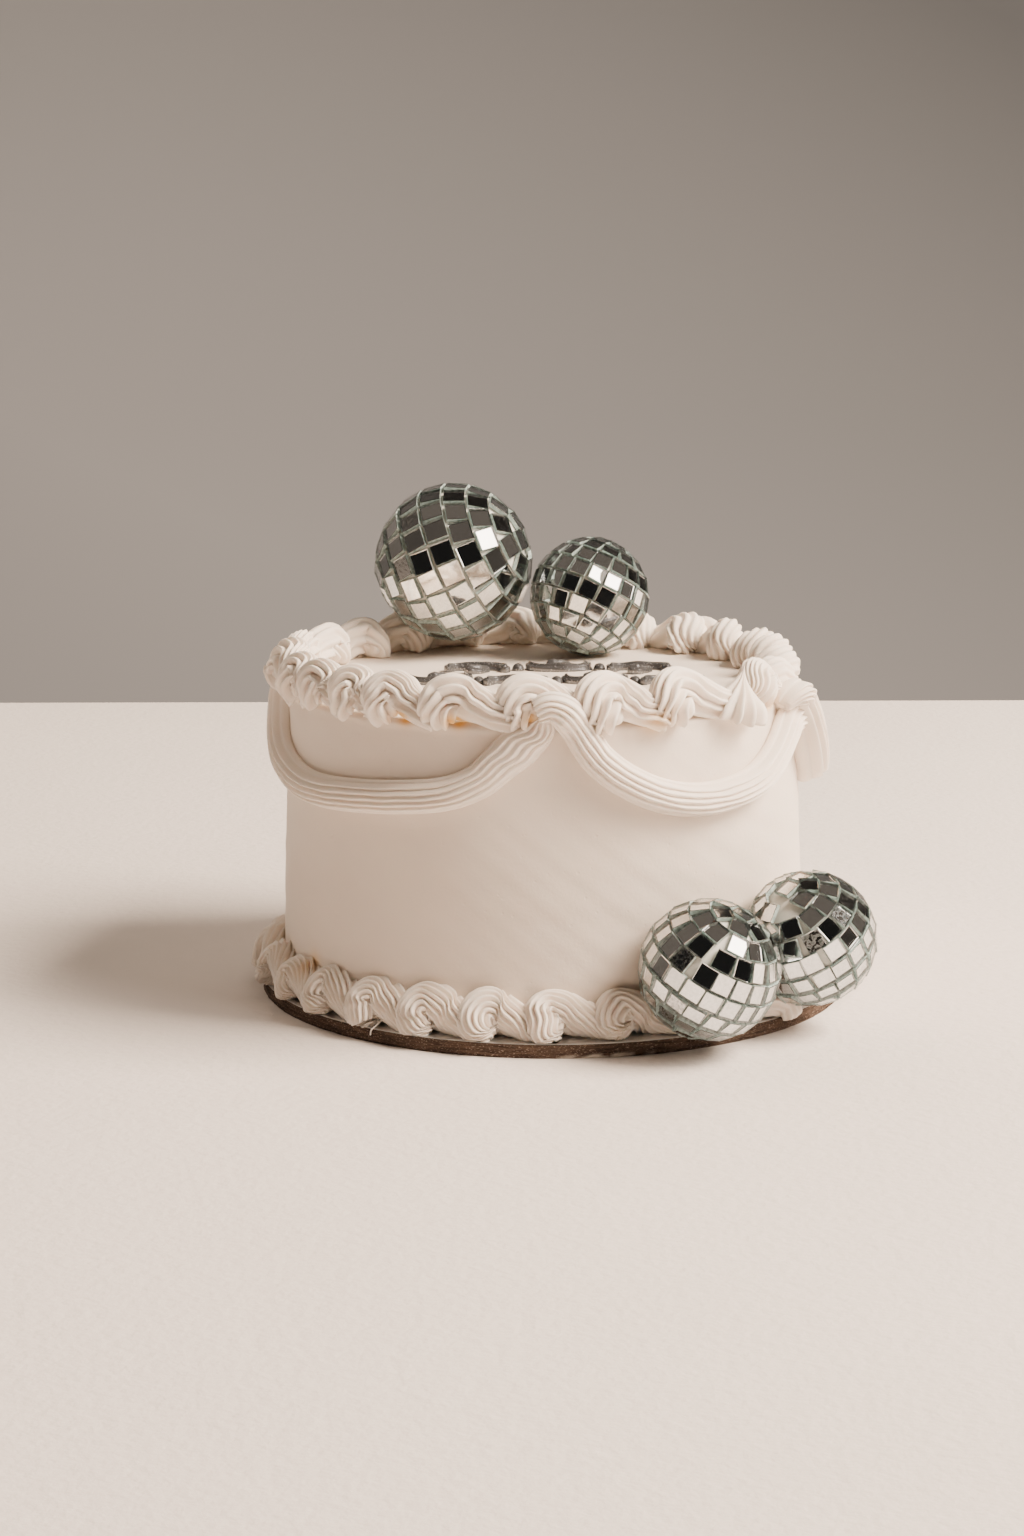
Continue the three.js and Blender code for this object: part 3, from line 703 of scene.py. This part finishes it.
swags = {
    "swag_1": {"from": -90, "to": 1, "flare": 1.3, "route": [
        (0, 97.0), (0.02, 91.0), (0.06, 81.5), (0.12, 75.0), (0.21, 70.8), (0.35, 68.2), (0.50, 68.8),
        (0.68, 70.9), (0.775, 73.0), (0.845, 76.9), (0.893, 82.2), (0.942, 87.4), (0.98, 91.2),
        (1.0, 95.0)]},
    "swag_2": {"from": 0.4, "to": 77, "flare": 1.35, "route": drape, "endDrop": 6.5},
    "swag_3": {"from": 63.5, "to": 138.6, "flare": 1.3, "swell": 0.5, "head": 0.4, "route": [
        (0, 90.4), (0.03, 93.0), (0.066, 93.4), (0.10, 90.6), (0.14, 85.4), (0.185, 79.0), (0.24, 72.6),
        (0.305, 67.8), (0.395, 65.2), (0.50, 65.0), (0.62, 67.6), (0.75, 75.0), (0.841, 82.6),
        (0.904, 88.4), (0.962, 92.6), (1.0, 95.4)]},
    "swag_4": {"from": 138.4, "to": 205.6, "flare": 1.2, "route": drape},
    "swag_5": {"from": 205.4, "to": 271.2, "flare": 1.25, "route": drape},
}


def swagRoute(swag):   # even steps along it, with azimuth, height and slope
    route = smoothPath(swag["route"], 900)
    azimuth = swag["from"] + (swag["to"] - swag["from"]) * route[:, 0]
    height = route[:, 1] - swag.get("endDrop", 0) * smoothStep(0.85, 1, route[:, 0])
    run = np.gradient(azimuth) * np.radians(1) * wallRadius(height)
    rise = np.gradient(height)
    length = np.cumsum(np.hypot(run, rise))
    place = np.linspace(length[0], length[-1], swagShape["steps"])
    azimuth, height, run, rise = (np.interp(place, length, v) for v in (azimuth, height, run, rise))
    return place, azimuth, height, np.arctan2(rise, run)


def swagSection():   # places across it from -1 to 1, how far they bulge, and crests as in ridged
    count = swagShape["ridges"] * swagShape["perRidge"] + 1
    front = np.linspace(-1, 1, count)
    back = np.linspace(1, -1, swagShape["backCorners"] + 2)[1:-1]
    across = np.concatenate([front, back])
    rounded = np.sqrt(1 - swagShape["fall"] * np.abs(front) ** swagShape["fullness"])
    bulge = np.concatenate([rounded, -swagShape["back"] * np.sqrt(1 - back ** 2)])
    crests = ridged(across * np.pi / 2, swagShape["ridges"] * 2, swagShape["sharp"])
    crests[count:] = 1   # the back is smooth
    return across, bulge, crests


def makeSwag(name, swag, seed):
    source = randomSource(seed)
    place, azimuth, height, slope = swagRoute(swag)
    across, bulge, crests = swagSection()
    done = place - place[0]
    left = place[-1] - place
    narrow = swag.get("head", swagShape["head"])
    head = narrow + (1 - narrow) * np.sqrt(np.clip(done / swagShape["headLength"], 0.02, 1))
    flare = 1 + (swag["flare"] - 1) * smoothStep(0, 1, 1 - left / swagShape["flareLength"])
    tip = swagShape["tip"] + (1 - swagShape["tip"]) * np.sqrt(np.clip(left / swagShape["tipLength"], 0, 1))
    size = (head * flare * tip)[:, None]
    along = place[:, None] * 2 * np.pi
    fold = swagShape["ripple"] * np.clip(1 - left / swagShape["rippleLength"], 0, 1)[:, None]
    wave = fold * np.sin(along / swagShape["ripplePace"] + 2.2 * across + source.uniform(0, 6))
    for k in range(3):
        pace = swagShape["waverPace"] * (0.6 + 0.5 * k)
        wave = wave + swagShape["waver"] * np.sin(along / pace + 3 * source.uniform(0.5, 2) * across)
    sideways = swagShape["width"] / 2 * size * across + wave * (1 - across ** 2)
    uneven = place[:, None] / swagShape["unevenPace"] + source.uniform(0, 6)
    uneven = 1 + swagShape["uneven"] * np.sin(uneven)
    thick = np.minimum(size, 1)
    grooves = swagShape["groove"] * (1 - crests) * (0.6 + 0.4 * thick)
    proud = swagShape["proud"] * (thick * bulge * uneven - grooves)
    share = (azimuth - swag["from"]) / (swag["to"] - swag["from"])
    proud = proud * (1 + swag.get("swell", 0) * (1 - smoothStep(0.3, 0.55, share)))[:, None]
    low, high, climb = swagShape["over"]
    proud = proud + climb * smoothStep(low, high, height)[:, None]
    z = height[:, None] + sideways * np.cos(slope)[:, None]
    turn = azimuth[:, None] - np.degrees(sideways * np.sin(slope)[:, None] / wallRadius(z))
    rings = around(turn, wallRadius(z) + proud, z)
    corners, faces, hollow = skinned(rings, np.broadcast_to(1 - crests, z.shape), flip=True)
    makePiece(name + "_rope", (corners, faces), [pipedIcing], [name],
              tones={"hollow": hollow, "creviceBounce": np.zeros(len(hollow))})


for index, (name, swag) in enumerate(swags.items()):
    makeSwag(name, swag, 60 + index)
print("swags piped")


# Mirror balls

tileShape = {
    "thickness": 1.3, "bevel": 0.14, "fill": 0.965, "glue": 0.2,
    "tilt": 2.0, "spin": 1.2,   # how unevenly they are stuck, in degrees
    "uneven": 0.012,            # share of the width
}


def tileFrame(direction, pole):
    down = unit(np.cross(np.cross(direction, pole), direction))
    return -down, np.cross(direction, -down)


def listed(places, row, degrees, count):
    reach = 180 / count
    return any(row == r and abs((degrees - at + 180) % 360 - 180) < reach for r, at in places)


def slab(centre, normal, down, side, halfDown, halfSide):
    thickness, bevel = tileShape["thickness"], tileShape["bevel"]
    corners = []
    for level, inset in [(0, 0), (thickness - bevel, 0), (thickness, bevel)]:
        middle = centre + normal * level
        for a, b in [(-1, -1), (1, -1), (1, 1), (-1, 1)]:
            corners.append(middle + down * a * (halfDown - inset) + side * b * (halfSide - inset))
    faces = [(3, 2, 1, 0), (8, 9, 10, 11)]
    for row in (0, 4):
        for k in range(4):
            following = (k + 1) % 4
            faces.append((row + k, row + following, row + 4 + following, row + 4 + k))
    return np.array(corners), faces


slabFinishes = [1, 0] + [2] * 4 + [0] * 4   # silver behind, glass in front, ground sides, glass bevels


def makeTiles(name, ball, backs, seed):   # backs is how far from the centre their backs lie
    source = randomSource(seed)
    centre = np.array(ball["centre"], float)
    pole = unit(np.array(ball["pole"], float))
    across = unit(np.cross(pole, (0.0, 0.0, 1.0)))
    third = np.cross(pole, across)
    toEye = unit(np.array(camera["place"]) - centre)
    toWindow = unit(around(window["azimuth"], 1, math.tan(math.radians(window["height"]))))
    tiles = []
    worn = []
    rowCount = round(math.pi * ball["radius"] / ball["pitch"])
    for row in range(rowCount + 1):
        polar = math.radians(ball["first"]) + math.pi * row / rowCount
        if polar > math.pi:
            break
        nearPole = polar <= 0.25   # radians
        girth = ball["radius"] * math.sin(polar)
        count = max(round(2 * math.pi * girth / ball["pitch"]), 1)
        widest = math.tan(math.pi / max(count, 3)) * girth * tileShape["fill"]
        start = ball["starts"].get(row, source.uniform(0, 360))
        for k in range(count):
            degrees = start + 360 * (k + source.normal(0, 0.02)) / count
            if "gap" in ball and row < 5:   # the row's spare room is left there
                beyond = (degrees - ball["gap"] + 180) % 360 - 180
                degrees += ball["loose"] * np.sign(beyond) * math.exp(-abs(beyond) / 40)
            if listed(ball.get("missing", []), row, degrees, count):
                continue
            turn = math.radians(degrees)
            sideways = math.cos(turn) * across + math.sin(turn) * third
            outward = math.cos(polar) * pole + math.sin(polar) * sideways
            down, side = tileFrame(outward, across if nearPole else pole)
            lean = np.radians(source.normal(0, tileShape["tilt"], 2))
            normal = unit(outward + lean[0] * down + lean[1] * side)
            if listed(ball.get("bright", []), row, degrees, count):
                normal = unit(toEye + toWindow)
            down = unit(down - (down @ normal) * normal)
            spin = math.radians(source.normal(0, tileShape["spin"]))
            down = math.cos(spin) * down + math.sin(spin) * np.cross(normal, down)
            side = np.cross(normal, down)
            half = ball["tile"] / 2 * (1 + source.normal(0, tileShape["uneven"]))
            base = centre + outward * (backs + source.uniform(-0.05, 0.05))
            tiles.append(slab(base, normal, down, side, half, half if nearPole else min(half, widest)))
            wear = float(source.random() > 0.95) * source.uniform(0.2, 0.5)
            if listed(ball.get("mottled", []), row, degrees, count):
                wear = 1.0
            worn += [wear] * len(tiles[-1][0])
    makePiece(f"{name}_tiles", joined(tiles), [cutGlass, mirrorFace, cutEdge], smooth=False,
              tones={"worn": worn}, faceFinish=slabFinishes * len(tiles))


def makeCore(name, ball, radius, seed):
    angles = np.linspace(np.pi, 0, 26)
    corners, faces = turned([(radius * math.sin(a), radius * math.cos(a)) for a in angles], 48)
    corners = corners * (1 + 0.004 * drift(corners, 6, seed))[:, None] + ball["centre"]
    makePiece(f"{name}_core", (corners, faces), [ballCore], [f"mirror_ball_{name}"])


for index, (name, ball) in enumerate(balls.items()):
    backs = ball["radius"] - tileShape["thickness"] * 0.5
    makeTiles(name, ball, backs, 40 + index)
    makeCore(name, ball, backs - tileShape["glue"], 40 + index)
print("mirror balls made")


# Silver flourish

stroke = {
    "halfWidth": 2.0, "height": 2.8, "ridges": 7, "perRidge": 6, "depth": 0.2, "steps": 60,
    "uneven": 0.06, "under": 0.12, "sunk": 0.1,
}
scrollShape = {"length": 24, "curl": 2.5, "waist": 0.75}
leafShape = {
    "length": 9, "offset": 4.6, "heading": 0.3, "bend": 0.5,
    "tip": 0.3, "belly": 0.85, "lean": 0.55, "fullness": 0.8,
}
bead = {"radius": 1.9, "height": 2.2, "fullness": 0.8, "peak": 0.1, "rows": 9, "sides": 28}
flourishRows = [
    {"y": -3, "scrolls": 4, "x": -31, "step": 23.5, "flip": 1},
    {"y": 21, "scrolls": 3, "x": -20, "step": 25, "flip": -1},
]
alongStroke = np.linspace(0, 1, stroke["steps"])


def strokeShape(place, length, angle, width, source):   # angle and width are for alongStroke
    step = np.stack([np.cos(angle), np.sin(angle)], -1) * length / (stroke["steps"] - 1)
    line = np.cumsum(step, axis=0)
    line -= line.mean(0)
    share = width * (1 + stroke["uneven"] * np.sin(alongStroke * 17 + source.uniform(0, 6)))
    ends = roundEnd(np.minimum(alongStroke, 1 - alongStroke), 0.08, least=0.01)
    half = stroke["halfWidth"] * share * ends
    high = stroke["height"] * (0.35 + 0.65 * share) * (0.4 + 0.6 * ends)
    turn = np.linspace(-np.pi, np.pi, stroke["ridges"] * stroke["perRidge"], endpoint=False)
    crests = ridged(turn + alongStroke[:, None] * 0.8, stroke["ridges"], 0.1)
    reach = 1 - stroke["depth"] * (1 - crests)
    flat = half[:, None] * reach * np.sin(turn)
    lift = high[:, None] * np.cos(turn) * np.where(np.cos(turn) > 0, reach, stroke["under"])
    sideways = np.stack([-np.sin(angle), np.cos(angle)], -1)
    points = np.empty((*flat.shape, 3))
    points[..., :2] = np.array(place) + line[:, None] + flat[..., None] * sideways[:, None]
    points[..., 2] = cake["top"] - stroke["sunk"] + lift
    return tube(points, flip=True)


def scroll(x, y, flip, source):
    angle = flip * scrollShape["curl"] * (2 * alongStroke - 1) ** 3
    waist = scrollShape["waist"]
    width = waist + (1 - waist) * np.cos(2 * np.pi * alongStroke) ** 2
    return strokeShape((x, y), scrollShape["length"], angle, width, source)


def leaf(x, y, flip, source):
    angle = leafShape["heading"] + leafShape["bend"] * alongStroke
    full = np.sin(np.pi * alongStroke ** leafShape["lean"]) ** leafShape["fullness"]
    width = leafShape["tip"] + leafShape["belly"] * full
    return strokeShape((x, y + flip * leafShape["offset"]), leafShape["length"], angle, width, source)


def dot(x, y):
    base = cake["top"] - stroke["sunk"]
    profile = [(0, base)]
    for angle in np.linspace(0, np.pi / 2, bead["rows"])[:-1]:
        reach = bead["radius"] * math.cos(angle) ** bead["fullness"]
        profile.append((reach, base + bead["height"] * math.sin(angle)))
    profile.append((0, base + bead["height"] + bead["peak"]))
    return turned(profile, bead["sides"], (x, y))


def pipe(kind, row, place, shape):
    label = f"{kind}_{row}_{place}"
    makePiece(label, shape, [silverIcing], ["silver_" + label])


def makeFlourish():
    source = randomSource(77)
    for index, row in enumerate(flourishRows, 1):
        for k in range(row["scrolls"]):
            x = row["x"] + row["step"] * k
            flip = row["flip"] * (-1) ** k
            pipe("scroll", index, k + 1, scroll(x, row["y"], flip, source))
            pipe("leaf", index, k + 1, leaf(x, row["y"], flip, source))
        for k in range(1, row["scrolls"]):
            pipe("bead", index, k, dot(row["x"] + row["step"] * (k - 0.5), row["y"]))


makeFlourish()
print("flourish piped")


# Table, backdrop and light, in metres

table = {"left": -3, "right": 3, "front": -2.5, "back": 0.49}
backdrop = {"left": -5, "right": 5, "low": -1.5, "high": 4, "away": 1.9}


def addPlane(name, corners, finish):
    mesh = bpy.data.meshes.new(name)
    mesh.from_pydata(corners, [], [tuple(range(len(corners)))])
    mesh.materials.append(finish)
    item = bpy.data.objects.new(name, mesh)
    bpy.context.scene.collection.objects.link(item)


def tableFinish():
    look = Finish("tableTop", Specular_IOR_Level=0.1)
    clouds = look.noise(9, 3.0)
    grain = look.noise(330, 5.0)
    color = look.mix(clouds, (0.765, 0.707, 0.675), (0.825, 0.766, 0.733))
    look.bump(grain + 0.8 * look.noise(120, 3.0), 0.5, 0.8)
    return look.show(Base_Color=color, Roughness=0.75 + 0.1 * grain)


def backdropFinish():
    look = Finish("backdrop", Specular_IOR_Level=0.1, Roughness=0.95)
    side = look.node("SeparateXYZ", None, {0: look.place()}, 0)
    height = look.node("SeparateXYZ", None, {0: look.place()}, 2)
    # painted shade: the backdrop is coloured darker towards the right and the top, standing in for less
    # light falling there
    away = 0.49 * side + height + 0.04 * look.noise(1.2, 1.0)
    color = look.mix(away.above(-0.21, 0.565), (0.475, 0.48, 0.505), (0.143, 0.151, 0.162))
    return look.show(Base_Color=color)


def rectangle(left, right, low, high):
    return [(left, low), (right, low), (right, high), (left, high)]


tableCorners = rectangle(table["left"], table["right"], table["front"], table["back"])
backdropCorners = rectangle(backdrop["left"], backdrop["right"], backdrop["low"], backdrop["high"])
addPlane("table", [(x, y, 0) for x, y in tableCorners], tableFinish())
addPlane("backdrop", [(x, backdrop["away"], z) for x, z in backdropCorners], backdropFinish())

softboxes = {   # angles in degrees, power in watts
    "window": {"azimuth": window["azimuth"], "height": window["height"], "distance": 1.3,
               "size": (0.42, 0.46), "power": 7, "color": (1.0, 0.84, 0.70)},
    "keyLight": {"azimuth": 80, "height": 47, "distance": 1.7,
                 "size": (0.85, 0.75), "power": 102, "color": (1.0, 0.81, 0.635)},
    "sideLight": {"azimuth": 92, "height": 13, "distance": 1.7,
                  "size": (1.0, 0.6), "power": 14, "color": (1.0, 0.81, 0.635)},
    "leftFill": {"azimuth": -122, "height": 32, "distance": 1.7,
                 "size": (0.8, 0.8), "power": 10, "color": (1.0, 0.80, 0.62)},
    "backFill": {"azimuth": 165, "height": 52, "distance": 1.7,
                 "size": (0.9, 0.9), "power": 5, "color": (1.0, 0.82, 0.66)},
}
aim = (0, 0, 0.05)   # all of them face this point


def addSoftbox(name, light):
    data = bpy.data.lights.new(name, "AREA")
    data.shape = "RECTANGLE"
    data.size, data.size_y = light["size"]
    data.energy = light["power"]
    data.color = light["color"]
    item = bpy.data.objects.new(name, data)
    bpy.context.scene.collection.objects.link(item)
    height = math.radians(light["height"])
    away, up = light["distance"] * math.cos(height), light["distance"] * math.sin(height)
    item.location = around(light["azimuth"], away, up)
    item.rotation_mode = "QUATERNION"
    item.rotation_quaternion = (Vector(aim) - item.location).to_track_quat("-Z", "Y")
    item.visible_glossy = name == "window"   # mirrors show no other light
    item.visible_transmission = name == "window"   # they lie behind glass


for name, light in softboxes.items():
    addSoftbox(name, light)


room = {"wall": (0.155, 0.126, 0.102), "dark": (0.014, 0.013, 0.012)}   # what the mirrors see


def makeWorld():
    world = bpy.data.worlds.new("room")
    bpy.context.scene.world = world
    world.use_nodes = True
    look = Tree(world.node_tree)
    direction = look.node("TexCoord", output="Generated")
    front = look.node("SeparateXYZ", None, {0: direction}, 1) * -1
    height = look.node("SeparateXYZ", None, {0: direction}, 2)
    dark = front.above(0.10, 0.42) * (1 - height.above(0.70, 0.86))
    look.feed(look.tree.nodes["Background"].inputs["Color"], look.mix(dark, room["wall"], room["dark"]))


makeWorld()
addCamera()
print("room lit")
